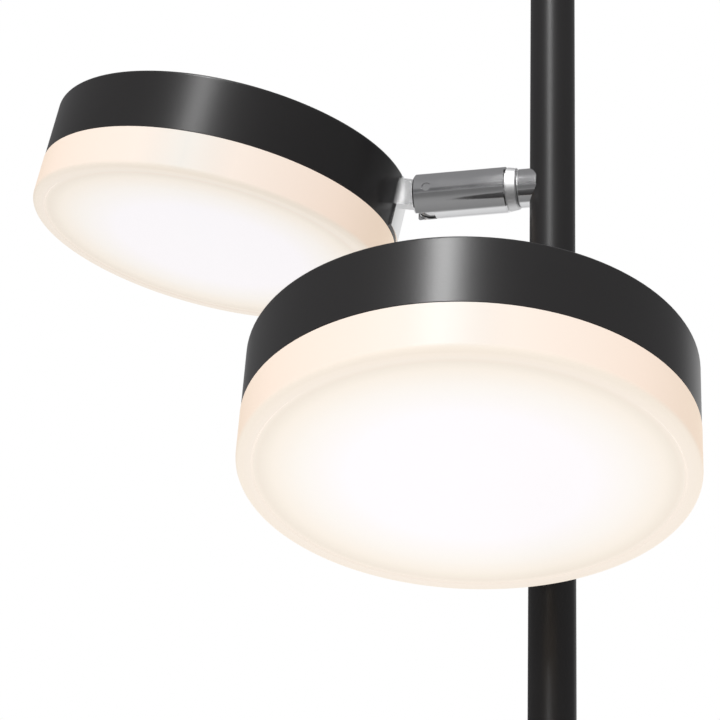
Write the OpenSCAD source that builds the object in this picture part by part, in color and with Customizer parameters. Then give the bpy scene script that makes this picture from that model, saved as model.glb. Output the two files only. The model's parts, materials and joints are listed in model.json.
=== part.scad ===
// Floor-to-ceiling tension pole lamp with two swivelling, tilting disc heads.
// Sizes are millimetres. The origin is on the floor under the pole and +Z is up.
// The lower arm points along -Y and the upper arm along -X.

/* [Pole] */
// Outer diameter of the pole tubes
pole_d = 25.4; // [24.6:0.2:28]
// Wall of the pole tubes
pole_wall = 1.2; // [1:0.1:1.4]
// Length of the bottom tube
bottom_tube_len = 655; // [400:5:900]
// Length of the middle tube
middle_tube_len = 655; // [400:5:900]
// Length of the tube that carries both arms
head_tube_len = 520; // [480:5:700]
// Length of the top tube, which the inner tube slides in
top_tube_len = 358; // [340:2:500]
// Rim that shows between two tubes, part of each joiner
joiner_rim = 2; // [1:0.5:4]
// Depth that a joiner reaches into each tube
joiner_depth = 30; // [20:1:38]
// Wall of a joiner
joiner_wall = 3; // [2:0.5:4]

/* [Height adjustment] */
// Clearance between the inner tube and the bore of the top tube
inner_play = 0.5; // [0.4:0.1:0.8]
// Wall of the inner tube
inner_wall = 1.2; // [1:0.1:1.5]
// Length of the inner tube that shows above the top tube
inner_show = 110; // [60:5:200]
// Gap under the slide ring when the pole is at its shortest
slide_gap = 9; // [6:1:20]
// Depth of the slide ring's flange below the inner tube
slide_flange = 4; // [3:0.5:6]
// Length of the slide ring inside the inner tube
slide_grip = 12; // [8:1:16]
// Wall of the slide ring
slide_wall = 1.5; // [1.2:0.1:2]
// Length of the guide bush in the mouth of the top tube
guide_len = 60; // [40:1:64]
// Height of the twist collar
collar_h = 38; // [34:1:50]
// Thickness of the twist collar around the pole
collar_wall = 4.5; // [3.5:0.5:7]
// Grip flutes around the twist collar
collar_flutes = 20; // [12:1:28]
// Depth of each grip flute
flute_depth = 0.8; // [0.4:0.1:1.4]
// Height of the split collet
collet_h = 12; // [8:1:14]

/* [Sprung plunger] */
// Diameter of the plunger rod
rod_d = 14; // [12:0.5:15]
// Length of the plunger rod that shows
rod_show = 81; // [60:1:120]
// Height of the piston on the lower end of the rod
piston_h = 8; // [5:1:12]
// Length of the guide bush in the end of the inner tube
bush_len = 16; // [10:1:25]
// Height of the bush's flange
bush_flange = 3; // [2:0.5:5]
// Length of the tension spring
spring_len = 104; // [90:1:120]
// Wire of the tension spring
spring_wire = 1.8; // [1.4:0.1:2.2]
// Turns of the tension spring
spring_turns = 12; // [8:1:14]
// Height of the plug that the spring stands on
seat_h = 8; // [6:1:12]

/* [Floor and ceiling ends] */
// Diameter of the rubber pads
pad_d = 68; // [64:1:90]
// Thickness of a pad under its cup
pad_floor = 4; // [3:0.5:6]
// Depth of the rubber lip around the cup's flange
pad_lip = 4; // [3.5:0.5:6]
// Diameter of the cup's flange
cup_d = 60; // [52:1:62]
// Thickness of the cup's flange
cup_flange = 2.5; // [2:0.1:3]
// Height of a cup above its flange's lower face
cup_h = 22; // [20:1:32]
// Diameter of a cup's neck
cup_neck_d = 27; // [26:0.5:32]
// Wall of a cup
cup_wall = 2; // [1.5:0.1:2.5]
// Diameter of the screws that hold the cups
cup_screw_d = 8; // [6:0.5:9]
// Length of the plug in the foot of the bottom tube
plug_len = 30; // [24:1:40]

/* [Cord outlet] */
// Height of the outlet above the floor
outlet_z = 84; // [75:1:150]
// Bore of the outlet bushing
outlet_bore_d = 7.2; // [6:0.2:8]
// Outer diameter of the outlet bushing where it crosses the wall
outlet_body_d = 11; // [10:0.2:12.4]
// Diameter of the outlet bushing's flange
outlet_flange_d = 16; // [14:0.5:18]
// Length of the bushing outside the pole
outlet_reach = 8; // [5:0.5:12]
// Diameter of the lead inside the pole
lead_d = 5; // [4:0.2:5.4]

/* [Arms] */
// Height of the lower arm above the lower end of its tube
lower_arm_rise = 160; // [120:1:180]
// Height between the two arms
arm_spacing = 220.5; // [215:0.5:260]
// Diameter of the saddle boss on the pole
boss_d = 22; // [18:0.5:24]
// Length of the saddle boss from the pole's surface
boss_len = 6; // [5:0.2:12]
// Diameter of the swivel ring where it meets the arm
ring_d = 25; // [22:0.5:26]
// Narrowing of the ring towards the boss, on the diameter
ring_taper = 1.6; // [0:0.2:3]
// Length of the swivel ring
ring_len = 6; // [4:0.2:8]
// Diameter of the arm
arm_d = 26; // [24.5:0.5:30]
// Length of the arm
arm_len = 53.2; // [50:0.2:70]
// Chamfer around both ends of the arm
arm_chamfer = 0.8; // [0.4:0.1:1.2]
// Diameter of the hollow nipple that the arm swivels on
nipple_d = 10; // [9:0.1:11]
// Bore of the nipple
nipple_bore_d = 6; // [5.8:0.1:6.6]
// Thickness of the arm's end wall, which turns on the nipple
end_wall = 9.4; // [7:0.2:11]
// Diameter of the cavity inside the arm
cavity_d = 19; // [18.4:0.2:20]
// Width across the flats of the swivel nut
nut_af = 15; // [14:0.2:15.6]
// Thickness of the swivel nut
nut_h = 5.5; // [4:0.5:6]

/* [Tilt hinge] */
// Distance from the tilt pin to the end of the arm
ear_reach = 8.2; // [7.4:0.2:10]
// Diameter of the tilt pin
pin_d = 5; // [4:0.1:6]
// Depth of the pin's ends below the arm's sides
pin_recess = 0.8; // [0.4:0.1:1.5]
// Thickness of the hinge tongue
tongue_t = 7; // [5:0.2:8]
// Height of the hinge tongue
tongue_h = 16; // [14:0.2:17]
// Diameter of the tongue's eye, which fills the slot around the pin
eye_d = 22; // [18:0.5:22.5]
// Gap on each side of the tongue, which holds a washer
tongue_gap = 1; // [0.8:0.1:1.4]
// Diameter of the friction washers
washer_d = 13; // [10:0.5:14]
// Distance from the tilt pin to the drum's wall
rim_gap = 20.5; // [19.5:0.1:28]
// Height of the tilt pin above the middle of the drum's wall
pivot_rise = 4.5; // [0:0.1:5]
// Thickness of the tongue's foot, bent to one side along the drum's wall
foot_t = 1.2; // [0.8:0.1:2]
// Distance that the foot reaches to the side
foot_reach = 26; // [12:1:30]
// Diameter of the two screws that hold the tongue
tongue_screw_d = 4; // [3:0.1:4.4]
// Distance between those screws
tongue_screw_pitch = 8.4; // [7.6:0.1:9]

/* [Heads] */
// Radius of the drum
drum_r = 105; // [95:1:115]
// Height of the drum
drum_h = 35; // [33:0.5:45]
// Wall of the drum
drum_wall = 1.5; // [1.2:0.1:2.5]
// Rounding of the drum's upper edge
drum_edge = 1.6; // [1:0.1:2.4]
// Distance that the diffuser stands proud of the drum
diffuser_proud = 0.2; // [0:0.1:1]
// Height of the diffuser below the drum
diffuser_h = 24; // [18:0.5:30]
// Wall of the diffuser
diffuser_wall = 2.5; // [2.2:0.1:3.5]
// Rounding of the diffuser's lower edge
diffuser_edge = 3; // [2.6:0.1:5]
// Width of the bead around the diffuser's face
bead_w = 7.7; // [6:0.1:12]
// Depth of the face behind the bead
bead_step = 0.8; // [0.4:0.1:1.5]
// Height of the diffuser's lip inside the drum
lip_h = 3; // [2:0.2:4]
// Thickness of the plate that carries the light-emitting chips
plate_t = 1.5; // [1:0.1:2.5]
// Distance of the three plate screws from the middle of the drum
post_at = 88; // [60:1:92]
// Diameter of the posts inside the drum
post_d = 8; // [7:0.5:10]
// Diameter of the plate screws
plate_screw_d = 3; // [2.5:0.1:4]
// Side of each light-emitting chip
chip_w = 3; // [2:0.1:5]
// Thickness of each chip
chip_t = 0.8; // [0.5:0.1:1.2]
// Distance between the rings of chips
chip_ring_step = 28; // [22:1:30]
// Length of the driver's case
driver_len = 66; // [50:1:90]
// Width of the driver's case
driver_w = 38; // [30:1:50]
// Height of the driver's case
driver_h = 20; // [14:1:24]

/* [Rest pose] */
// Tilt at which the lower head is shown, outer edge up
lower_tilt = 13.3; // [0:0.1:30]
// Tilt at which the upper head is shown, outer edge up
upper_tilt = 11.2; // [0:0.1:30]
// Swivel at which both heads are shown
rest_swivel = 1.8; // [0:0.1:5]

/* [Hidden] */
$fn = 96;
eps = 0.01;
// Running clearance on a radius, between a shaft and its bore
running = 0.05;
// Clearance on a radius between fixed pieces
fixed = 0.05;
// Gap between bodies that move past each other
body_gap = 0.3;

pole_r = pole_d / 2;
bore_r = pole_r - pole_wall;
inner_r = bore_r - inner_play;
inner_bore_r = inner_r - inner_wall;
rod_r = rod_d / 2;
nipple_r = nipple_d / 2;
arm_r = arm_d / 2;

// Rim of the guide bush on the end of the top tube
guide_rim = 2;
foot_h = pad_floor + cup_h;
bottom_tube_z = foot_h;
middle_tube_z = bottom_tube_z + bottom_tube_len + joiner_rim;
head_tube_z = middle_tube_z + middle_tube_len + joiner_rim;
top_tube_z = head_tube_z + head_tube_len + joiner_rim;
top_tube_end = top_tube_z + top_tube_len;
inner_z = top_tube_z + joiner_depth + slide_gap + slide_flange;
inner_end = top_tube_end + inner_show;
rod_end = inner_end + bush_flange + rod_show;
ceiling_z = rod_end + cup_h + pad_floor;
piston_top = inner_end - bush_len - body_gap;
spring_top = piston_top - piston_h - body_gap;
spring_z = spring_top - spring_len;

lower_arm_z = head_tube_z + lower_arm_rise;
upper_arm_z = lower_arm_z + arm_spacing;
boss_end = pole_r + boss_len;
ring_at = boss_end + body_gap;
arm_at = ring_at + ring_len;
arm_end = arm_at + arm_len;
tilt_at = arm_end - ear_reach;
cavity_at = arm_at + end_wall;
slot_w = tongue_t + 2 * tongue_gap;
eye_r = eye_d / 2;
// Clearance around the eye at the inner end of the slot
eye_play = 0.8;
// Distance before the pin from which the slot is open above and below
swing_in = 3;
nipple_in = 5.5;
nut_at = cavity_at + body_gap;
nipple_end = nut_at + nut_h + 2;

// Blind end of the screw holes in the tongue, measured from the tilt pin
tongue_hole_at = tongue_h / 2 + 1;
head_x = drum_r + rim_gap;
drum_top = drum_h / 2;
drum_in_r = drum_r - drum_wall;
diffuser_r = drum_r + diffuser_proud;
lip_r = drum_in_r - 0.4;
lip_w = 1.9;
plate_z = -drum_h / 2 + lip_h + 0.2;
plate_r = drum_in_r - 0.5;
post_angles = [0, 120, 240];
chip_rings = [1, 2, 3];
chips_per_ring = 6;

black = [0.19, 0.185, 0.19];
chrome = [0.74, 0.74, 0.76];
steel = [0.6, 0.6, 0.62];
rubber = [0.1, 0.1, 0.1];
milk = [0.99, 0.95, 0.88];
nylon = [0.85, 0.85, 0.82];

// ---- helpers ----

// Points of an arc from angle a to angle b
function arc(centre, r, a, b, steps = 6) =
    [for (i = [0:steps]) let (t = a + (b - a) * i / steps) centre + r * [cos(t), sin(t)]];

// A tube or ring standing on z
module ring(r_out, r_in, z, h) {
    translate([0, 0, z])
        difference() {
            cylinder(r = r_out, h = h);
            translate([0, 0, -1]) cylinder(r = r_in, h = h + 2);
        }
}

// A round bar along +X from x1 to x2
module bar_x(r, x1, x2) {
    translate([x1, 0, 0]) rotate([0, 90, 0]) cylinder(r = r, h = x2 - x1);
}

// A round bar along Y, centred on the XZ plane
module bar_y(r, len) {
    rotate([90, 0, 0]) cylinder(r = r, h = len, center = true);
}

// A screw standing on its head at z = 0, shank up
module pan_screw(d, len, head_r, head_h) {
    translate([0, 0, -head_h])
        rotate_extrude()
            polygon(concat(
                [[0, 0], [head_r - head_h / 2, 0]],
                arc([head_r - head_h / 2, head_h / 2], head_h / 2, -90, 0, 4),
                [[head_r, head_h], [d / 2, head_h], [d / 2, head_h + len - 0.6],
                 [d / 2 - 0.6, head_h + len], [0, head_h + len]]));
}

// ---- foot and ceiling ends, drawn as the foot ----

module end_pad() {
    lip_r_in = cup_d / 2 - 3;
    pad_r = pad_d / 2;
    round_r = 1.5;
    color(rubber)
        difference() {
            rotate_extrude()
                polygon(concat(
                    [[0, 0], [pad_r - round_r, 0]],
                    arc([pad_r - round_r, round_r], round_r, -90, 0, 4),
                    arc([pad_r - round_r, pad_floor + pad_lip - round_r], round_r, 0, 90, 4),
                    [[lip_r_in, pad_floor + pad_lip],
                     [lip_r_in, pad_floor + cup_flange + 0.1],
                     [cup_d / 2 + 0.1, pad_floor + cup_flange + 0.1],
                     [cup_d / 2 + 0.1, pad_floor], [0, pad_floor]]));
            for (groove_r = [14, 20, 26])
                translate([0, 0, -eps]) ring(groove_r + 0.8, groove_r - 0.8, 0, 0.8);
        }
}

module end_cup() {
    flange_r = cup_d / 2;
    neck_r = cup_neck_d / 2;
    shoulder_z = cup_flange;
    sweep_r = min(cup_h - cup_flange - 4, flange_r - neck_r - 4);
    sweep_c = [neck_r + sweep_r, cup_flange + sweep_r];
    inner_sweep = arc(sweep_c, sweep_r + cup_wall, 180, 270, 8);
    color(black)
        translate([0, 0, pad_floor])
            rotate_extrude()
                polygon(concat(
                    [[sweep_c[0], 0], [flange_r - 0.6, 0], [flange_r, 0.6],
                     [flange_r, shoulder_z]],
                    [for (p = arc(sweep_c, sweep_r, 270, 180, 8)) p],
                    [[neck_r, cup_h], [cup_screw_d / 2 + fixed, cup_h],
                     [cup_screw_d / 2 + fixed, cup_h - 4],
                     [neck_r - cup_wall, cup_h - 4]],
                    [for (p = inner_sweep) if (p[1] > 0.1) p],
                    [[sweep_c[0], max(0, sweep_c[1] - sweep_r - cup_wall)]]));
}

module end_screw() {
    color(steel)
        translate([0, 0, foot_h - 4])
            pan_screw(cup_screw_d, 22, cup_screw_d * 0.85, 4.5);
}

module floor_pad() { end_pad(); }
module foot_cup() { end_cup(); }
module foot_screw() { end_screw(); }

module at_ceiling() {
    translate([0, 0, ceiling_z]) mirror([0, 0, 1]) children();
}

module ceiling_pad() { at_ceiling() end_pad(); }
module ceiling_cup() { at_ceiling() end_cup(); }
module ceiling_screw() { at_ceiling() end_screw(); }

module foot_plug() {
    color(steel)
        ring(bore_r - fixed, cup_screw_d / 2 + fixed, foot_h, plug_len);
}

// ---- pole ----

module pole_tube(z, len) {
    color(black) ring(pole_r, bore_r, z, len);
}

module joiner(z) {
    spigot_r = bore_r - fixed;
    hole_r = spigot_r - joiner_wall;
    color(black)
        translate([0, 0, z])
            rotate_extrude()
                polygon([
                    [hole_r, -joiner_rim - joiner_depth],
                    [spigot_r - 1, -joiner_rim - joiner_depth],
                    [spigot_r, -joiner_rim - joiner_depth + 1],
                    [spigot_r, -joiner_rim], [pole_r - 0.4, -joiner_rim],
                    [pole_r - 0.4, 0], [spigot_r, 0],
                    [spigot_r, joiner_depth - 1], [spigot_r - 1, joiner_depth],
                    [hole_r, joiner_depth]]);
}

module bottom_tube() {
    difference() {
        pole_tube(bottom_tube_z, bottom_tube_len);
        translate([0, 0, outlet_z])
            rotate([0, 0, 90]) bar_x(outlet_body_d / 2 + fixed, 0, pole_r + 1);
    }
}

module lower_joiner() { joiner(middle_tube_z); }
module middle_tube() { pole_tube(middle_tube_z, middle_tube_len); }
module middle_joiner() { joiner(head_tube_z); }

module head_tube() {
    difference() {
        pole_tube(head_tube_z, head_tube_len);
        on_lower_arm() bar_x(nipple_r + fixed, 0, pole_r + 1);
        on_upper_arm() bar_x(nipple_r + fixed, 0, pole_r + 1);
    }
}

module upper_joiner() { joiner(top_tube_z); }
module top_tube() { pole_tube(top_tube_z, top_tube_len); }

// Bushing in the back of the foot, where the cord would leave the pole
module cord_outlet() {
    body_r = outlet_body_d / 2;
    bore_in = bore_r - 2.5;
    end = pole_r + outlet_reach;
    color(rubber)
        translate([0, 0, outlet_z])
            rotate([0, 0, 90])
                difference() {
                    union() {
                        bar_x(body_r, bore_in, pole_r + 1);
                        difference() {
                            bar_x(outlet_flange_d / 2, 0, pole_r + 2);
                            cylinder(r = pole_r + fixed, h = outlet_flange_d + 2, center = true);
                        }
                        translate([pole_r + 1.5, 0, 0])
                            rotate([0, 90, 0])
                                cylinder(r1 = body_r, r2 = body_r - 0.8, h = end - pole_r - 1.5);
                    }
                    bar_x(outlet_bore_d / 2, bore_in - 1, end + 1);
                }
}

// Twin lead inside the pole, from the outlet to both arms
module pole_lead() {
    r = lead_d / 2;
    color(nylon) {
        translate([0, 0, outlet_z]) {
            rotate([0, 0, 90]) bar_x(r, 0, bore_r - 2.6);
            sphere(r = r);
            cylinder(r = r, h = upper_arm_z - outlet_z);
        }
        on_lower_arm() bar_x(r, 0, nipple_end + 1);
        on_upper_arm() {
            sphere(r = r);
            bar_x(r, 0, nipple_end + 1);
        }
    }
}

// ---- height adjustment ----

// Plastic bush pressed into the mouth of the top tube
module guide_bush() {
    color(nylon)
        rotate_extrude()
            translate([0, top_tube_end])
                polygon([
                    [inner_r + running, -guide_len], [bore_r - fixed, -guide_len],
                    [bore_r - fixed, 0], [pole_r, 0], [pole_r, guide_rim],
                    [inner_r + running, guide_rim]]);
}

// Tapered split ring that the collar squeezes on to the inner tube
module collet() {
    z = top_tube_end + guide_rim;
    slits = 4;
    color(nylon)
        difference() {
            translate([0, 0, z])
                rotate_extrude()
                    polygon([
                        [inner_r + running, 0], [pole_r, 0],
                        [inner_r + 1.2, collet_h], [inner_r + running, collet_h]]);
            for (i = [0:slits - 1])
                rotate([0, 0, 360 * i / slits])
                    translate([0, -0.6, z + 3]) cube([pole_r + 1, 1.2, collet_h]);
        }
}

module twist_collar() {
    outer_r = pole_r + collar_wall;
    top_h = collet_h + 8;
    skirt = collar_h - top_h;
    flute_r = 1.6;
    chamfer = 1.2;
    color(black)
        translate([0, 0, top_tube_end])
            difference() {
                rotate_extrude()
                    polygon([
                        [pole_r + running, -skirt], [outer_r - chamfer, -skirt],
                        [outer_r, -skirt + chamfer], [outer_r, top_h - 3],
                        [outer_r - 3, top_h], [inner_r + body_gap, top_h],
                        [inner_r + body_gap, collet_h + 3.5],
                        [inner_r + 1.2 + body_gap, collet_h + 2.5],
                        [pole_r + body_gap, guide_rim], [pole_r + running, guide_rim - 0.5]]);
                for (i = [0:collar_flutes - 1])
                    rotate([0, 0, 360 * i / collar_flutes])
                        translate([outer_r + flute_r - flute_depth, 0, -skirt + 4])
                            cylinder(r = flute_r, h = collar_h - 12, $fn = 24);
            }
}

module inner_tube() {
    color(chrome) ring(inner_r, inner_bore_r, inner_z, inner_end - inner_z);
}

// Ring at the foot of the inner tube that slides in the top tube's bore
module inner_slide_ring() {
    hole_r = inner_bore_r - slide_wall;
    color(nylon)
        rotate_extrude()
            translate([0, inner_z])
                polygon([
                    [hole_r, -slide_flange], [bore_r - running, -slide_flange],
                    [bore_r - running, 0], [inner_bore_r - fixed, 0],
                    [inner_bore_r - fixed, slide_grip], [hole_r, slide_grip]]);
}

module spring_seat() {
    peg_r = rod_r - spring_wire - 1;
    color(steel)
        translate([0, 0, spring_z - body_gap - seat_h])
            rotate_extrude()
                polygon([
                    [0, 0], [inner_bore_r - fixed, 0], [inner_bore_r - fixed, seat_h],
                    [peg_r, seat_h], [peg_r, seat_h + 5], [peg_r - 1, seat_h + 6],
                    [0, seat_h + 6]]);
}

module plunger_bush() {
    color(nylon)
        rotate_extrude()
            translate([0, inner_end])
                polygon([
                    [rod_r + running, -bush_len], [inner_bore_r - fixed, -bush_len],
                    [inner_bore_r - fixed, 0], [inner_r, 0], [inner_r, bush_flange - 1],
                    [inner_r - 1, bush_flange], [rod_r + running, bush_flange]]);
}

// ---- sprung plunger ----

// Points of one ring of the spring's wire, at turn t
function wire_ring(t, mean_r, pitch, sides) =
    [for (k = [0:sides - 1])
        let (a = 360 * k / sides, r = mean_r + spring_wire / 2 * cos(a))
        [r * cos(360 * t), r * sin(360 * t), pitch * t + spring_wire / 2 * sin(a)]];

module tension_spring() {
    sides = 6;
    rings_per_turn = 12;
    mean_r = rod_r - spring_wire / 2;
    rings = spring_turns * rings_per_turn;
    pitch = (spring_len - spring_wire) / spring_turns;
    points = [for (i = [0:rings]) each wire_ring(i / rings_per_turn, mean_r, pitch, sides)];
    walls = [for (i = [0:rings - 1], k = [0:sides - 1])
        let (a = i * sides + k, b = i * sides + (k + 1) % sides)
        each [[a, a + sides, b], [b, a + sides, b + sides]]];
    first = [for (k = [1:sides - 2]) [0, k, k + 1]];
    last = [for (k = [1:sides - 2]) [rings * sides, rings * sides + k + 1, rings * sides + k]];
    color(steel)
        translate([0, 0, spring_z + spring_wire / 2])
            polyhedron(points = points, faces = concat(walls, first, last));
}

module plunger_rod() {
    hole_r = cup_screw_d / 2 + fixed;
    color(chrome)
        rotate_extrude()
            polygon([
                [0, piston_top - piston_h], [inner_bore_r - body_gap, piston_top - piston_h],
                [inner_bore_r - body_gap, piston_top], [rod_r, piston_top],
                [rod_r, rod_end], [hole_r, rod_end], [hole_r, rod_end - 20],
                [0, rod_end - 20]]);
}

// ---- arms, drawn along +X from the pole's axis ----

module on_lower_arm() {
    translate([0, 0, lower_arm_z]) rotate([0, 0, -90]) children();
}

module on_upper_arm() {
    translate([0, 0, upper_arm_z]) rotate([0, 0, 180]) children();
}

module boss() {
    color(chrome)
        difference() {
            rotate([0, 90, 0])
                rotate_extrude()
                    polygon([
                        [nipple_r + fixed, pole_r - 5.5], [boss_d / 2, pole_r - 5.5],
                        [boss_d / 2, boss_end - 0.8], [boss_d / 2 - 0.8, boss_end],
                        [nipple_r + fixed, boss_end]]);
            cylinder(r = pole_r + fixed, h = boss_d + 2, center = true);
        }
}

module nipple() {
    color(steel)
        difference() {
            bar_x(nipple_r, nipple_in, nipple_end);
            bar_x(nipple_bore_d / 2, nipple_in - 1, nipple_end + 1);
        }
}

// Nut inside the pole, curved to sit against the tube's wall
module boss_nut() {
    color(steel)
        difference() {
            intersection() {
                cylinder(r = bore_r - fixed, h = 16, center = true);
                translate([nipple_in + 0.5, -7, -8]) cube([pole_r, 14, 16]);
            }
            bar_x(nipple_r + fixed, 0, pole_r);
        }
}

module swivel_nut() {
    color(steel)
        difference() {
            translate([nut_at, 0, 0])
                rotate([0, 90, 0]) cylinder(r = nut_af / 2 / cos(30), h = nut_h, $fn = 6);
            bar_x(nipple_r + fixed, nut_at - 1, nut_at + nut_h + 1);
        }
}

module swivel_ring() {
    edge = 0.6;
    boss_side_r = (ring_d - ring_taper) / 2;
    color(chrome)
        rotate([0, 90, 0])
            rotate_extrude()
                polygon([
                    [nipple_r + running, ring_at], [boss_side_r - edge, ring_at],
                    [boss_side_r, ring_at + edge], [ring_d / 2, arm_at - edge],
                    [ring_d / 2 - edge, arm_at], [nipple_r + running, arm_at]]);
}

module arm() {
    color(chrome)
        difference() {
            rotate([0, 90, 0])
                rotate_extrude()
                    polygon([
                        [0, arm_at], [arm_r - arm_chamfer, arm_at],
                        [arm_r, arm_at + arm_chamfer], [arm_r, arm_end - arm_chamfer],
                        [arm_r - arm_chamfer, arm_end], [0, arm_end]]);
            bar_x(nipple_r + running, arm_at - 1, cavity_at + 1);
            bar_x(cavity_d / 2, cavity_at, tilt_at - eye_r + 2);
            translate([tilt_at, 0, 0]) {
                bar_y(eye_r + eye_play, slot_w);
                translate([-swing_in, -slot_w / 2, -arm_r - 1])
                    cube([swing_in + ear_reach + 1, slot_w, arm_d + 2]);
                bar_y(pin_d / 2 + fixed, arm_d + 2);
            }
        }
}

module tilt_pin() {
    len = arm_d - 2 * pin_recess;
    color(chrome) translate([tilt_at, 0, 0]) bar_y(pin_d / 2, len);
}

module tilt_washers() {
    t = tongue_gap - body_gap;
    color(nylon)
        translate([tilt_at, 0, 0])
            for (side = [-1, 1])
                translate([0, side * (slot_w / 2 - t / 2), 0])
                    difference() {
                        bar_y(washer_d / 2, t);
                        bar_y(pin_d / 2 + 0.2, t + 1);
                    }
}

// ---- head, drawn level with the tilt pin at the origin ----

module drum_place() {
    translate([head_x, 0, -pivot_rise]) children();
}

module tongue() {
    foot_h = drum_h - 2 * drum_edge - 0.8;
    foot_r = drum_r + foot_t;
    color(chrome)
        difference() {
            union() {
                bar_y(eye_r, tongue_t);
                translate([0, -tongue_t / 2, -tongue_h / 2])
                    cube([rim_gap + 2, tongue_t, tongue_h]);
                drum_place()
                    intersection() {
                        cylinder(r = foot_r, h = foot_h, center = true, $fn = 180);
                        translate([-foot_r, -foot_reach, -foot_h / 2])
                            cube([foot_r / 2, foot_reach, foot_h]);
                    }
            }
            bar_y(pin_d / 2 + running, tongue_t + 2);
            drum_place() cylinder(r = drum_r, h = 2 * drum_h, center = true);
            for (z = tongue_screw_zs())
                translate([0, 0, z])
                    bar_x(tongue_screw_d / 2 + fixed, tongue_hole_at, rim_gap + 3);
        }
}

// Heights of the two screws, measured from the tilt pin
function tongue_screw_zs() = [-tongue_screw_pitch / 2, tongue_screw_pitch / 2];
// Inner face of the thickened wall behind the tongue
function pad_in_x() = rim_gap + drum_wall + 3.5;

module tongue_screws() {
    color(steel)
        for (z = tongue_screw_zs())
            translate([pad_in_x(), 0, z])
                rotate([0, -90, 0])
                    pan_screw(tongue_screw_d, pad_in_x() - tongue_hole_at - 1, 3.4, 2.4);
}

module drum() {
    post_end = plate_z + plate_t;
    color(black)
        difference() {
            union() {
                drum_place() {
                    rotate_extrude($fn = 180)
                        polygon(concat(
                            [[drum_in_r, -drum_h / 2], [drum_r - 0.4, -drum_h / 2],
                             [drum_r, -drum_h / 2 + 0.4]],
                            arc([drum_r - drum_edge, drum_top - drum_edge], drum_edge, 0, 90, 5),
                            [[0, drum_top], [0, drum_top - drum_wall],
                             [drum_in_r, drum_top - drum_wall]]));
                    for (a = post_angles)
                        rotate([0, 0, a])
                            translate([post_at, 0, post_end])
                                cylinder(d = post_d, h = drum_top - drum_wall - post_end + 0.5);
                }
                intersection() {
                    translate([rim_gap, -9, -9]) cube([pad_in_x() - rim_gap, 18, 18]);
                    drum_place() cylinder(r = drum_r - 0.5, h = drum_h, center = true);
                }
            }
            for (z = tongue_screw_zs())
                translate([0, 0, z]) bar_x(tongue_screw_d / 2 + fixed, rim_gap - 1, pad_in_x() + 1);
            drum_place()
                for (a = post_angles)
                    rotate([0, 0, a])
                        translate([post_at, 0, post_end - 1])
                            cylinder(d = plate_screw_d + 2 * fixed, h = 14);
        }
}

module led_plate() {
    color(steel)
        drum_place()
            difference() {
                translate([0, 0, plate_z]) cylinder(r = plate_r, h = plate_t);
                for (a = post_angles)
                    rotate([0, 0, a])
                        translate([post_at, 0, plate_z - 1])
                            cylinder(d = plate_screw_d + 2 * fixed, h = plate_t + 2);
            }
}

module plate_screws() {
    color(steel)
        drum_place()
            for (a = post_angles)
                rotate([0, 0, a])
                    translate([post_at, 0, plate_z])
                        pan_screw(plate_screw_d, 12, 2.8, 1.8);
}

module led_chips() {
    color("gold")
        drum_place()
            for (n = chip_rings, i = [0:n * chips_per_ring - 1])
                rotate([0, 0, 360 * (i + 0.5) / (n * chips_per_ring)])
                    translate([n * chip_ring_step - chip_w / 2, -chip_w / 2, plate_z - chip_t])
                        cube([chip_w, chip_w, chip_t]);
}

module driver() {
    z = plate_z + plate_t;
    color("white")
        drum_place()
            translate([-driver_len / 2, -driver_w / 2, z])
                difference() {
                    cube([driver_len, driver_w, driver_h]);
                    for (side = [-1, driver_w - 2])
                        translate([8, side, driver_h - 5]) cube([driver_len - 16, 3, 6]);
                }
}

module diffuser() {
    in_r = diffuser_r - diffuser_wall;
    face_r = diffuser_r - bead_w;
    floor_z = -diffuser_h + bead_step + 2;
    color(milk)
        drum_place()
            translate([0, 0, -drum_h / 2])
                rotate_extrude($fn = 180)
                    polygon(concat(
                        [[lip_r, 0], [diffuser_r - 0.3, 0], [diffuser_r, -0.3]],
                        arc([diffuser_r - diffuser_edge, -diffuser_h + diffuser_edge],
                            diffuser_edge, 0, -90, 6),
                        [[face_r + bead_step, -diffuser_h], [face_r, -diffuser_h + bead_step],
                         [0, -diffuser_h + bead_step], [0, floor_z], [in_r - 2, floor_z],
                         [in_r, floor_z + 2], [in_r, -3], [lip_r - lip_w, -1.5],
                         [lip_r - lip_w, lip_h], [lip_r, lip_h]]));
}

// Moves a head's pieces from the tilt pin to their place on an arm
module at_tilt(tilt) {
    rotate([rest_swivel, 0, 0])
        translate([tilt_at, 0, 0]) rotate([0, -tilt, 0]) children();
}

module at_swivel() {
    rotate([rest_swivel, 0, 0]) children();
}

module lower_boss() { on_lower_arm() boss(); }
module lower_nipple() { on_lower_arm() nipple(); }
module lower_boss_nut() { on_lower_arm() boss_nut(); }
module lower_swivel_nut() { on_lower_arm() swivel_nut(); }
module lower_swivel_ring() { on_lower_arm() at_swivel() swivel_ring(); }
module lower_arm() { on_lower_arm() at_swivel() arm(); }
module lower_tilt_pin() { on_lower_arm() at_swivel() tilt_pin(); }
module lower_tilt_washers() { on_lower_arm() at_swivel() tilt_washers(); }
module lower_tongue() { on_lower_arm() at_tilt(lower_tilt) tongue(); }
module lower_tongue_screws() { on_lower_arm() at_tilt(lower_tilt) tongue_screws(); }
module lower_drum() { on_lower_arm() at_tilt(lower_tilt) drum(); }
module lower_led_plate() { on_lower_arm() at_tilt(lower_tilt) led_plate(); }
module lower_led_chips() { on_lower_arm() at_tilt(lower_tilt) led_chips(); }
module lower_driver() { on_lower_arm() at_tilt(lower_tilt) driver(); }
module lower_plate_screws() { on_lower_arm() at_tilt(lower_tilt) plate_screws(); }
module lower_diffuser() { on_lower_arm() at_tilt(lower_tilt) diffuser(); }

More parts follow.
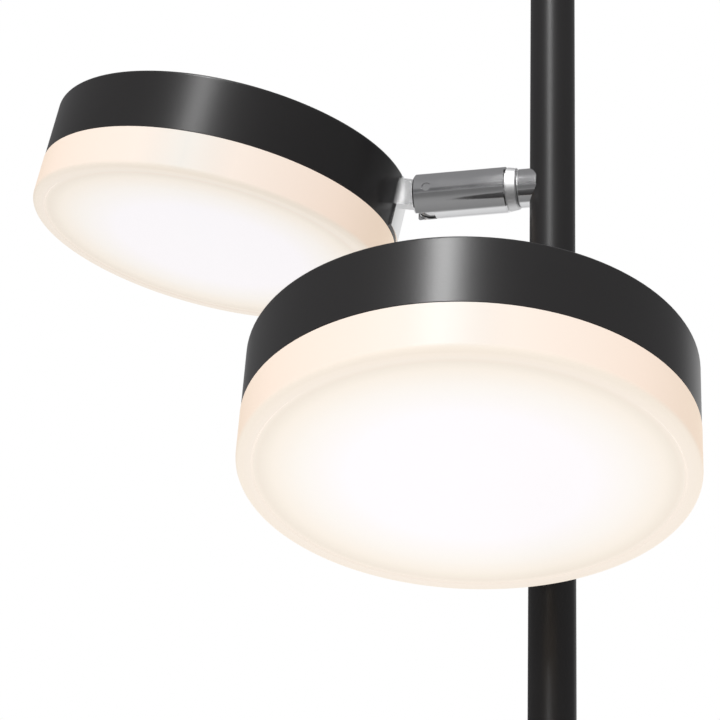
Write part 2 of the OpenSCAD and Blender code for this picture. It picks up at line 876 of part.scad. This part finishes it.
module upper_boss() { on_upper_arm() boss(); }
module upper_nipple() { on_upper_arm() nipple(); }
module upper_boss_nut() { on_upper_arm() boss_nut(); }
module upper_swivel_nut() { on_upper_arm() swivel_nut(); }
module upper_swivel_ring() { on_upper_arm() at_swivel() swivel_ring(); }
module upper_arm() { on_upper_arm() at_swivel() arm(); }
module upper_tilt_pin() { on_upper_arm() at_swivel() tilt_pin(); }
module upper_tilt_washers() { on_upper_arm() at_swivel() tilt_washers(); }
module upper_tongue() { on_upper_arm() at_tilt(upper_tilt) tongue(); }
module upper_tongue_screws() { on_upper_arm() at_tilt(upper_tilt) tongue_screws(); }
module upper_drum() { on_upper_arm() at_tilt(upper_tilt) drum(); }
module upper_led_plate() { on_upper_arm() at_tilt(upper_tilt) led_plate(); }
module upper_led_chips() { on_upper_arm() at_tilt(upper_tilt) led_chips(); }
module upper_driver() { on_upper_arm() at_tilt(upper_tilt) driver(); }
module upper_plate_screws() { on_upper_arm() at_tilt(upper_tilt) plate_screws(); }
module upper_diffuser() { on_upper_arm() at_tilt(upper_tilt) diffuser(); }

floor_pad();
foot_cup();
foot_screw();
foot_plug();
cord_outlet();
bottom_tube();
lower_joiner();
middle_tube();
middle_joiner();
head_tube();
upper_joiner();
top_tube();
guide_bush();
collet();
twist_collar();
pole_lead();
inner_tube();
inner_slide_ring();
spring_seat();
plunger_bush();
tension_spring();
plunger_rod();
ceiling_screw();
ceiling_cup();
ceiling_pad();
lower_boss();
lower_nipple();
lower_boss_nut();
lower_swivel_nut();
lower_swivel_ring();
lower_arm();
lower_tilt_pin();
lower_tilt_washers();
lower_tongue();
lower_tongue_screws();
lower_drum();
lower_led_plate();
lower_led_chips();
lower_driver();
lower_plate_screws();
lower_diffuser();
upper_boss();
upper_nipple();
upper_boss_nut();
upper_swivel_nut();
upper_swivel_ring();
upper_arm();
upper_tilt_pin();
upper_tilt_washers();
upper_tongue();
upper_tongue_screws();
upper_drum();
upper_led_plate();
upper_led_chips();
upper_driver();
upper_plate_screws();
upper_diffuser();
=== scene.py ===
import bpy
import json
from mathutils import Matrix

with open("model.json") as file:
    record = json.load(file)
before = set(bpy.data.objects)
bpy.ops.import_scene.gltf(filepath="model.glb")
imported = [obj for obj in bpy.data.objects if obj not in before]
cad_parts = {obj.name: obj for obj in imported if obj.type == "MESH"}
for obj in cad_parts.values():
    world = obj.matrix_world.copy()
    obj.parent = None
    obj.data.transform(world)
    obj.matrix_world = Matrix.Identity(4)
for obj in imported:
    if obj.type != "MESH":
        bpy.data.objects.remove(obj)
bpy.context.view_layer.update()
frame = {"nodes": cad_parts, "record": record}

import json
import math

import bpy
from mathutils import Matrix, Vector

NODES = frame["nodes"]
JOINTS = {joint["name"]: joint for joint in frame["record"]["behaviour"]["joints"]}

# ---- the heads, in metres and degrees ----

DRUM_R = 0.105
DRUM_H = 0.035
DRUM_EDGE = 0.0016
DIFFUSER_H = 0.024
DIFFUSER_EDGE = 0.003
RIM_GAP = 0.0205
PIVOT_RISE = 0.0045
DRUM_FOOT = -DRUM_H / 2
FACE_AT = DRUM_FOOT - DIFFUSER_H
# painted_shade_lit_side: the side of each head, in degrees, where the key lamp lights the diffuser's wall;
# the wall's glow is painted dimmer there, as painted shade
HEADS = {
    "lower": {"tilt": 13.3, "glow": 1.0, "painted_shade_lit_side": 8.0},
    "upper": {"tilt": 11.2, "glow": 0.93, "painted_shade_lit_side": 100.0},
}


def turn(degrees, axis):
    return Matrix.Rotation(math.radians(degrees), 4, axis)


def arm_frame(head):
    """Frame of an arm at rest: origin on the pole's axis, +X outwards along the arm."""
    swivel, tilt = JOINTS[head + "_swivel"], JOINTS[head + "_tilt"]
    azimuth = math.degrees(math.atan2(swivel["axis"][1], swivel["axis"][0]))
    swivelled = math.degrees(math.asin(-tilt["axis"][2]))
    return Matrix.Translation((0, 0, swivel["pos_m"][2])) @ turn(azimuth, "Z") @ turn(swivelled, "X")


def head_frame(head):
    """Frame of a head at rest: origin in the middle of its drum, +Z along the drum's axis."""
    pin_at = Vector(JOINTS[head + "_tilt"]["pos_m"][:2]).length
    return (
        arm_frame(head)
        @ Matrix.Translation((pin_at, 0, 0))
        @ turn(-HEADS[head]["tilt"], "Y")
        @ Matrix.Translation((DRUM_R + RIM_GAP, 0, -PIVOT_RISE))
    )


# ---- camera ----

CAMERA_AT = Vector((0.233083, -1.209024, 1.155457))
CAMERA_YAW, CAMERA_PITCH, CAMERA_ROLL = 15.801, 20.4478, 1.7519
CAMERA_LENS, CAMERA_SENSOR = 120.041, 36


def add_camera():
    data = bpy.data.cameras.new("camera")
    data.lens = CAMERA_LENS
    data.sensor_width = CAMERA_SENSOR
    data.clip_start = 0.05
    data.clip_end = 60
    camera = bpy.data.objects.new("camera", data)
    bpy.context.scene.collection.objects.link(camera)
    camera.matrix_world = (
        Matrix.Translation(CAMERA_AT)
        @ turn(CAMERA_YAW, "Z")
        @ turn(90 + CAMERA_PITCH, "X")
        @ turn(CAMERA_ROLL, "Z")
    )
    bpy.context.scene.camera = camera


add_camera()

# ---- node building ----


class Value:
    """An output socket that can be used in arithmetic."""

    def __init__(self, nodes, socket):
        self.nodes, self.socket = nodes, socket

    def _maths(self, operation, a, b=0.0):
        return self.nodes.node("ShaderNodeMath", {"operation": operation}, {0: a, 1: b})

    def __add__(self, other):
        return self._maths("ADD", self, other)

    def __radd__(self, other):
        return self._maths("ADD", other, self)

    def __sub__(self, other):
        return self._maths("SUBTRACT", self, other)

    def __rsub__(self, other):
        return self._maths("SUBTRACT", other, self)

    def __mul__(self, other):
        return self._maths("MULTIPLY", self, other)

    def __rmul__(self, other):
        return self._maths("MULTIPLY", other, self)

    def __truediv__(self, other):
        return self._maths("DIVIDE", self, other)

    def __rtruediv__(self, other):
        return self._maths("DIVIDE", other, self)

    def __pow__(self, other):
        return self._maths("POWER", self, other)

    def __abs__(self):
        return self._maths("ABSOLUTE", self)

    def out(self, name):
        """Another output of the same node."""
        return Value(self.nodes, self.socket.node.outputs[name])


class Nodes:
    """The nodes of one material or world."""

    def __init__(self, owner):
        owner.use_nodes = True
        self.tree = owner.node_tree
        self.tree.nodes.clear()

    def feed(self, socket, value):
        """Links a value to a socket, or sets the socket to a number, a vector or a colour."""
        if isinstance(value, Value):
            self.tree.links.new(value.socket, socket)
        elif isinstance(value, tuple) and socket.type == "RGBA" and len(value) == 3:
            socket.default_value = value + (1.0,)
        else:
            socket.default_value = value

    def node(self, kind, settings=None, inputs=None, out=0):
        made = self.tree.nodes.new(kind)
        for key, value in (settings or {}).items():
            if key == "stops":
                ramp = made.color_ramp
                while len(ramp.elements) < len(value):
                    ramp.elements.new(0.5)
                for element, (at, colour) in zip(ramp.elements, value):
                    element.position = at
                    element.color = colour + (1.0,)
            else:
                setattr(made, key, value)
        for key, value in (inputs or {}).items():
            self.feed(made.inputs[key], value)
        return Value(self, made.outputs[out])

    def split(self, vector):
        """The three coordinates of a vector."""
        parts = self.node("ShaderNodeSeparateXYZ", {}, {"Vector": vector})
        return parts, parts.out("Y"), parts.out("Z")

    def ranged(self, value, low, high, to_low, to_high, smooth=False):
        settings = {"interpolation_type": "SMOOTHSTEP"} if smooth else {}
        return self.node(
            "ShaderNodeMapRange",
            settings,
            {"Value": value, "From Min": low, "From Max": high, "To Min": to_low, "To Max": to_high},
        )

    def mix(self, factor, a, b, kind="RGBA"):
        """A blend of two colours, or of two vectors."""
        first, out = {"RGBA": (6, 2), "VECTOR": (4, 1)}[kind]
        return self.node("ShaderNodeMix", {"data_type": kind}, {0: factor, first: a, first + 1: b}, out)

    def ramp(self, at, stops):
        """A colour that runs through the stops."""
        return self.node("ShaderNodeValToRGB", {"stops": stops}, {"Fac": at}, "Color")


# the range that most of a noise lies in
NOISE_LOW, NOISE_HIGH = 0.3, 0.7


class Finish(Nodes):
    """A material with one Principled shader, on Object coordinates."""

    def __init__(self, name, **constants):
        self.material = bpy.data.materials.new(name)
        super().__init__(self.material)
        output = self.tree.nodes.new("ShaderNodeOutputMaterial")
        self.shader = self.tree.nodes.new("ShaderNodeBsdfPrincipled")
        self.tree.links.new(self.shader.outputs[0], output.inputs["Surface"])
        for socket, value in constants.items():
            self.set(socket.replace("_", " "), value)
        self.place = self.node("ShaderNodeTexCoord", {}, {}, "Object")

    def set(self, socket, value):
        self.feed(self.shader.inputs[socket], value)

    def local(self, matrix):
        """Object coordinates turned into the frame that a matrix describes."""
        back = matrix.inverted()
        place, angles = tuple(back.to_translation()), tuple(back.to_euler())
        return self.node(
            "ShaderNodeMapping",
            {"vector_type": "POINT"},
            {"Vector": self.place, "Location": place, "Rotation": angles},
        )

    def stretch(self, at, scale):
        return self.node("ShaderNodeMapping", {"vector_type": "POINT"}, {"Vector": at, "Scale": scale})

    def noise(self, scale, detail=2.0, roughness=0.5, at=None):
        return self.node(
            "ShaderNodeTexNoise",
            {},
            {"Vector": at or self.place, "Scale": scale, "Detail": detail, "Roughness": roughness},
        )

    def spread(self, noise, low, high):
        """A value between low and high that follows a noise."""
        return self.ranged(noise, NOISE_LOW, NOISE_HIGH, low, high)

    def bump(self, height, strength, distance, normal=None):
        inputs = {"Strength": strength, "Distance": distance, "Height": height}
        if normal:
            inputs["Normal"] = normal
        self.set("Normal", self.node("ShaderNodeBump", {}, inputs))


WALL_MARGIN = 0.0005


def wall_normal(finish, head, low, high):
    """The mesh's own normal, but straight out from a head's axis on its round wall.

    The wall runs from low to high in the head's frame. The mesh has a seam down it, which this hides.
    """
    matrix = head_frame(head)
    x, y, z = finish.split(finish.local(matrix))
    outwards = finish.node("ShaderNodeCombineXYZ", {}, {"X": x, "Y": y})
    turned = finish.node(
        "ShaderNodeMapping",
        {"vector_type": "NORMAL"},
        {"Vector": outwards, "Rotation": tuple(matrix.to_euler())},
    )
    placed = finish.node(
        "ShaderNodeVectorTransform",
        {"vector_type": "NORMAL", "convert_from": "OBJECT", "convert_to": "WORLD"},
        {"Vector": turned},
    )
    radius = (x * x + y * y) ** 0.5
    on_wall = (
        finish.ranged(radius, DRUM_R - WALL_MARGIN, DRUM_R - WALL_MARGIN / 2, 0.0, 1.0)
        * finish.ranged(z, low, low + WALL_MARGIN, 0.0, 1.0)
        * finish.ranged(z, high - WALL_MARGIN, high, 1.0, 0.0)
    )
    own = finish.node("ShaderNodeNewGeometry", {}, {}, "Normal")
    return finish.mix(on_wall, own, placed, "VECTOR")


# ---- finishes ----

BLACK = (0.0178, 0.0167, 0.0169)


def grey(level):
    return (level, level, level)


def dimmed(colour, share):
    return tuple(share * c for c in colour)


def black_paint(name, low, high, head=None):
    """Satin black powder coat with a fine orange peel, whose roughness varies between low and high."""
    f = Finish(name, IOR=1.5)
    peel = f.noise(scale=900, detail=2.0)
    sheen = f.noise(scale=14, detail=3.0)
    f.set("Roughness", f.spread(sheen, low, high))
    f.set("Base Color", f.mix(sheen, dimmed(BLACK, 0.9), dimmed(BLACK, 1.12)))
    wall = wall_normal(f, head, DRUM_FOOT + WALL_MARGIN, DRUM_H / 2 - DRUM_EDGE) if head else None
    f.bump(peel, strength=0.10, distance=0.0002, normal=wall)
    return f.material


def chrome(name):
    """Polished plate, with faint smears and fine lines from wiping."""
    f = Finish(name, Metallic=1.0)
    smear = f.noise(scale=60, detail=4.0, roughness=0.6)
    lines = f.noise(scale=40, detail=5.0, roughness=0.7, at=f.stretch(f.place, (1, 30, 30)))
    f.set("Base Color", f.mix(smear, (0.86, 0.86, 0.87), grey(0.94)))
    f.set("Roughness", f.ranged(smear * 0.6 + lines * 0.4, 0.35, 0.65, 0.06, 0.11))
    f.bump(lines, strength=0.03, distance=0.0001)
    return f.material


def satin_chrome(name, low, high):
    """Satin plate with faint marks of turning, whose roughness varies between low and high."""
    f = Finish(name, Metallic=1.0)
    turned = f.noise(scale=60, detail=4.0, roughness=0.6, at=f.stretch(f.place, (30, 30, 1)))
    f.set("Base Color", f.mix(turned, grey(0.88), grey(0.95)))
    f.set("Roughness", f.spread(turned, low, high))
    f.bump(turned, strength=0.05, distance=0.0001)
    return f.material


def steel(name):
    """Bright zinc plate, clouded and lightly brushed."""
    f = Finish(name, Metallic=1.0)
    cloud = f.noise(scale=120, detail=4.0, roughness=0.6)
    brushed = f.noise(scale=60, detail=4.0, roughness=0.6, at=f.stretch(f.place, (20, 20, 1)))
    f.set("Base Color", f.mix(cloud, (0.42, 0.42, 0.44), grey(0.58)))
    f.set("Roughness", f.spread(brushed, 0.26, 0.42))
    f.bump(brushed, strength=0.12, distance=0.0002)
    return f.material


def rubber(name):
    """Matte black rubber with a moulded grain."""
    f = Finish(name)
    grain = f.noise(scale=1600, detail=3.0, roughness=0.6)
    dust = f.noise(scale=40, detail=3.0)
    f.set("Base Color", f.mix(dust, grey(0.022), (0.036, 0.035, 0.034)))
    f.set("Roughness", f.spread(grain, 0.68, 0.86))
    f.bump(grain, strength=0.35, distance=0.0002)
    return f.material


def nylon(name, colour):
    """Natural moulded plastic, slightly cloudy."""
    f = Finish(name, Subsurface_Weight=0.15, Subsurface_Radius=grey(0.002), Subsurface_Scale=0.5)
    cloud = f.noise(scale=90, detail=3.0)
    grain = f.noise(scale=1500, detail=2.0)
    f.set("Base Color", f.mix(cloud, dimmed(colour, 0.93), colour))
    f.set("Roughness", f.spread(cloud, 0.40, 0.52))
    f.bump(grain, strength=0.12, distance=0.0002)
    return f.material


# glow of the face, from its middle to its rim
FACE_STOPS = (
    (0.0, (0.75, 0.74, 0.78)),
    (0.52, (0.75, 0.735, 0.775)),
    (0.71, (0.73, 0.70, 0.67)),
    (0.84, (0.71, 0.645, 0.57)),
    (0.905, (0.63, 0.565, 0.485)),
    (0.93, (0.68, 0.60, 0.525)),
    (1.0, (0.66, 0.58, 0.49)),
)
# glow of the wall, from its lit side round to the far side: the glow is the lamp's own, but its change round
# the wall is painted shade, dimmed where the key lamp lights the wall and warmer and darker towards the far
# side
WALL_GLOW_PAINTED_SHADE_STOPS = (
    (0.0, (0.43, 0.41, 0.38)),
    (0.134, (0.60, 0.50, 0.435)),
    (0.42, (0.645, 0.50, 0.405)),
    (0.82, (0.58, 0.44, 0.30)),
)


def frosted(name, head):
    """Frosted acrylic lit from inside: whitest in the middle of the face, warmer at the rim and the wall.
    Round the wall its glow carries painted shade, dimmer on the side the key lamp lights and warmer on the
    far side.
    """
    f = Finish(name, IOR=1.49, Emission_Strength=1.0)
    x, y, z = f.split(f.local(head_frame(head)))
    radius = (x * x + y * y) ** 0.5
    level = HEADS[head]["glow"]
    face = f.ramp(radius / DRUM_R, [(at, dimmed(colour, level)) for at, colour in FACE_STOPS])
    # painted shade: the wall's glow is dimmed on the side that the key lamp lights, and turns warmer round
    # to the far side
    painted_shade_lit = math.radians(HEADS[head]["painted_shade_lit_side"])
    painted_shade_aside = ((1 - (x * math.cos(painted_shade_lit) + y * math.sin(painted_shade_lit)) / radius) / 2) ** 0.5
    height = (z - FACE_AT) / DIFFUSER_H
    up_wall = f.ranged(height, 0.02, 0.16, 0.0, 1.0, smooth=True)
    f.set("Emission Color", f.mix(up_wall, face, f.ramp(painted_shade_aside, WALL_GLOW_PAINTED_SHADE_STOPS)))
    f.set("Base Color", (0.36, 0.34, 0.31))
    frost = f.noise(scale=1400, detail=3.0, roughness=0.6)
    f.set("Roughness", f.spread(frost, 0.36, 0.46))
    wall = wall_normal(f, head, FACE_AT + DIFFUSER_EDGE, DRUM_FOOT - WALL_MARGIN)
    f.bump(frost, strength=0.06, distance=0.0002, normal=wall)
    return f.material


def plate(name, head):
    """Bare aluminium, turned on a lathe."""
    f = Finish(name, Metallic=1.0)
    x, y, _ = f.split(f.local(head_frame(head)))
    radius = (x * x + y * y) ** 0.5
    rings = {"W": radius, "Scale": 2500.0, "Detail": 3.0}
    turned = f.node("ShaderNodeTexNoise", {"noise_dimensions": "1D"}, rings)
    f.set("Base Color", f.mix(turned, (0.66, 0.66, 0.67), grey(0.80)))
    f.set("Roughness", f.spread(turned, 0.25, 0.40))
    f.bump(turned, strength=0.2, distance=0.0001)
    return f.material


def phosphor(name):
    """Yellow phosphor of the light-emitting chips, lit."""
    f = Finish(name, Emission_Strength=0.6)
    grain = f.noise(scale=3000, detail=2.0)
    f.set("Base Color", f.mix(grain, (0.80, 0.62, 0.20), (0.92, 0.78, 0.34)))
    f.set("Emission Color", f.mix(grain, (1.0, 0.80, 0.50), (1.0, 0.86, 0.62)))
    f.set("Roughness", f.spread(grain, 0.3, 0.45))
    f.bump(grain, strength=0.1, distance=0.0001)
    return f.material


SLOT_FINISH = {
    "black_paint": black_paint("satin_black", 0.37, 0.40),
    "chrome": chrome("polished_chrome"),
    "steel": steel("zinc_plate"),
    "rubber": rubber("matte_rubber"),
    "nylon": nylon("natural_nylon", (0.76, 0.76, 0.72)),
    "lead_sheath": nylon("lead_sheath", (0.70, 0.70, 0.69)),
    "driver_case": nylon("driver_case", (0.80, 0.80, 0.79)),
    "led_phosphor": phosphor("phosphor"),
}
RING_PLATE = satin_chrome("ring_plate", 0.46, 0.52)
TONGUE_PLATE = satin_chrome("tongue_plate", 0.15, 0.18)
# finishes of single nodes, which go before those of their slots
NODE_FINISH = {}
for head in HEADS:
    NODE_FINISH[head + "_swivel_ring"] = RING_PLATE
    NODE_FINISH[head + "_tongue"] = TONGUE_PLATE
    NODE_FINISH[head + "_drum"] = black_paint(head + "_drum_black", 0.285, 0.315, head)
    NODE_FINISH[head + "_diffuser"] = frosted(head + "_frosted_acrylic", head)
    NODE_FINISH[head + "_led_plate"] = plate(head + "_turned_aluminium", head)

for row in frame["record"]["subparts"]:
    finish = NODE_FINISH.get(row["node"]) or SLOT_FINISH[row["material_slot"]]
    materials = NODES[row["node"]].data.materials
    materials.clear()
    materials.append(finish)

# ---- studio ----

STUDIO_CENTRE = Vector((0, 0, 1.55))
LAMP_AZIMUTH, LAMP_DISTANCE = -94, 3.0
FLOOR_SIZE = 60
WHITE = grey(1.0)
FLOOR = grey(0.86)
# what reflections see of the floor: dark up to a distance behind the pole, and white from another
DARK_FLOOR, DARK_FLOOR_TO, WHITE_FLOOR_FROM = grey(0.26), 0.4, 1.0
# the camera sees the floor glow, more so away from the lamp, where the lamp's light fades
GLOW_NEAR, NEAR_TO = grey(0.24), 1.0
GLOW_FAR, FAR_FROM = grey(0.52), 5.0
# the light all round, then what reflections see: the back wall, and the front wall with a dark band
FILL = (0.58, 0.58, 0.585)
BACK_WALL, BACK_FADES_FROM, BACK_FADES_TO = grey(0.85), 0.7, 1.0
FRONT_WALL = (0.235, 0.235, 0.24)
DARK_BAND, BAND_AT, BAND_FADES_FROM, BAND_FADES_TO = (0.11, 0.11, 0.113), 0.17, 0.04, 0.24


def add_floor():
    """A pale floor that fades into the white around it, and keeps the lamp's shadow."""
    bpy.ops.object.select_all(action="DESELECT")
    bpy.ops.mesh.primitive_plane_add(size=FLOOR_SIZE)
    floor = bpy.context.object
    floor.name = "floor"
    f = Finish("pale_floor", Emission_Strength=1.0)
    x, y, _ = f.split(f.place)
    to_camera = f.node("ShaderNodeLightPath", {}, {}, "Is Camera Ray")
    behind = f.ranged(y, DARK_FLOOR_TO, WHITE_FLOOR_FROM, 0.0, 1.0, smooth=True)
    mirrored = f.mix(behind, DARK_FLOOR, WHITE)
    f.set("Base Color", f.mix(to_camera.out("Is Glossy Ray"), FLOOR, mirrored))
    away = f.ranged((x * x + y * y) ** 0.5, NEAR_TO, FAR_FROM, 0.0, 1.0, smooth=True)
    f.set("Emission Color", f.mix(to_camera, grey(0.0), f.mix(away, GLOW_NEAR, GLOW_FAR)))
    f.set("Roughness", f.spread(f.noise(scale=3, detail=2.0), 0.55, 0.7))
    floor.data.materials.append(f.material)


def add_softbox(name, elevation, width, height, watts):
    """A rectangular lamp in front of the heads, that looks at them from an elevation in degrees."""
    a, e = math.radians(LAMP_AZIMUTH), math.radians(elevation)
    back = Vector((math.cos(a) * math.cos(e), math.sin(a) * math.cos(e), math.sin(e)))
    data = bpy.data.lights.new(name, "AREA")
    data.shape = "RECTANGLE"
    data.size, data.size_y = width, height
    data.energy = watts
    lamp = bpy.data.objects.new(name, data)
    bpy.context.scene.collection.objects.link(lamp)
    lamp.location = STUDIO_CENTRE + back * LAMP_DISTANCE
    lamp.rotation_euler = back.to_track_quat("Z", "Y").to_euler()
    lamp.visible_camera = False


def add_world():
    """White for the camera. Reflections see white behind the lamp, and grey and a dark band before it."""
    world = bpy.data.worlds.new("studio")
    bpy.context.scene.world = world
    n = Nodes(world)
    _, y, z = n.split(n.node("ShaderNodeTexCoord", {}, {}, "Generated"))
    off_band = n.ranged(abs(z - BAND_AT), BAND_FADES_FROM, BAND_FADES_TO, 0.0, 1.0, smooth=True)
    in_front = n.mix(off_band, DARK_BAND, FRONT_WALL)
    behind = n.ranged(y, BACK_FADES_FROM, BACK_FADES_TO, 0.0, 1.0, smooth=True)
    mirrored = n.mix(behind, in_front, BACK_WALL)
    to_camera = n.node("ShaderNodeLightPath", {}, {}, "Is Camera Ray")
    shiny = n.node(
        "ShaderNodeMath",
        {"operation": "MAXIMUM"},
        {0: to_camera.out("Is Glossy Ray"), 1: to_camera.out("Is Transmission Ray")},
    )
    colour = n.mix(to_camera, n.mix(shiny, FILL, mirrored), WHITE)
    sky = n.node("ShaderNodeBackground", {}, {"Color": colour, "Strength": 1.0})
    output = n.tree.nodes.new("ShaderNodeOutputWorld")
    n.tree.links.new(sky.socket, output.inputs["Surface"])


add_floor()
add_world()
add_softbox("key", elevation=49, width=0.44, height=1.3, watts=40)
add_softbox("front", elevation=20, width=0.46, height=1.6, watts=19)
add_softbox("over", elevation=76, width=0.44, height=1.3, watts=6)
bpy.context.scene.view_settings.view_transform = "Standard"
